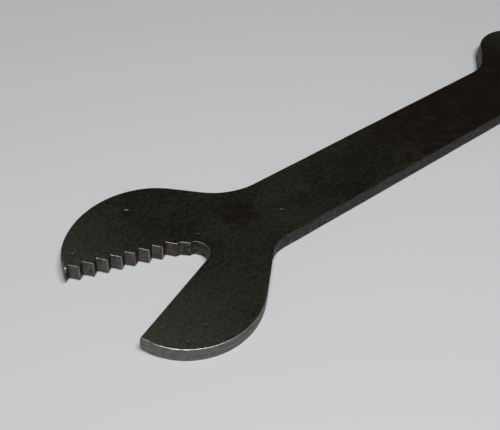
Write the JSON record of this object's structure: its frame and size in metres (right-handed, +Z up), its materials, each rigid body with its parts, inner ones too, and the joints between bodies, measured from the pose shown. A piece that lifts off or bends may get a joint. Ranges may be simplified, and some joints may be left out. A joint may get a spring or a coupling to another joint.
{
  "type": "alligator wrench",
  "caption": "Flat steel alligator wrench with a V-shaped mouth at each end, each between a toothed jaw and a smooth jaw, for gripping round bar, pipe and worn nuts.",
  "frame": {"origin": "on the underside, in the middle of the handle, midway between the centres of the two heads", "axes": "+X along the handle towards the small head, +Y towards the large head's toothed jaw, +Z up through the plate"},
  "size_m": [0.1916, 0.0551, 0.0048],
  "materials": {
    "blackened_steel": "blackened, satin, with bare metal at the worn edges"
  },
  "bodies": {
    "root": {"wrench_body": "blackened_steel"}
  },
  "joints": []
}
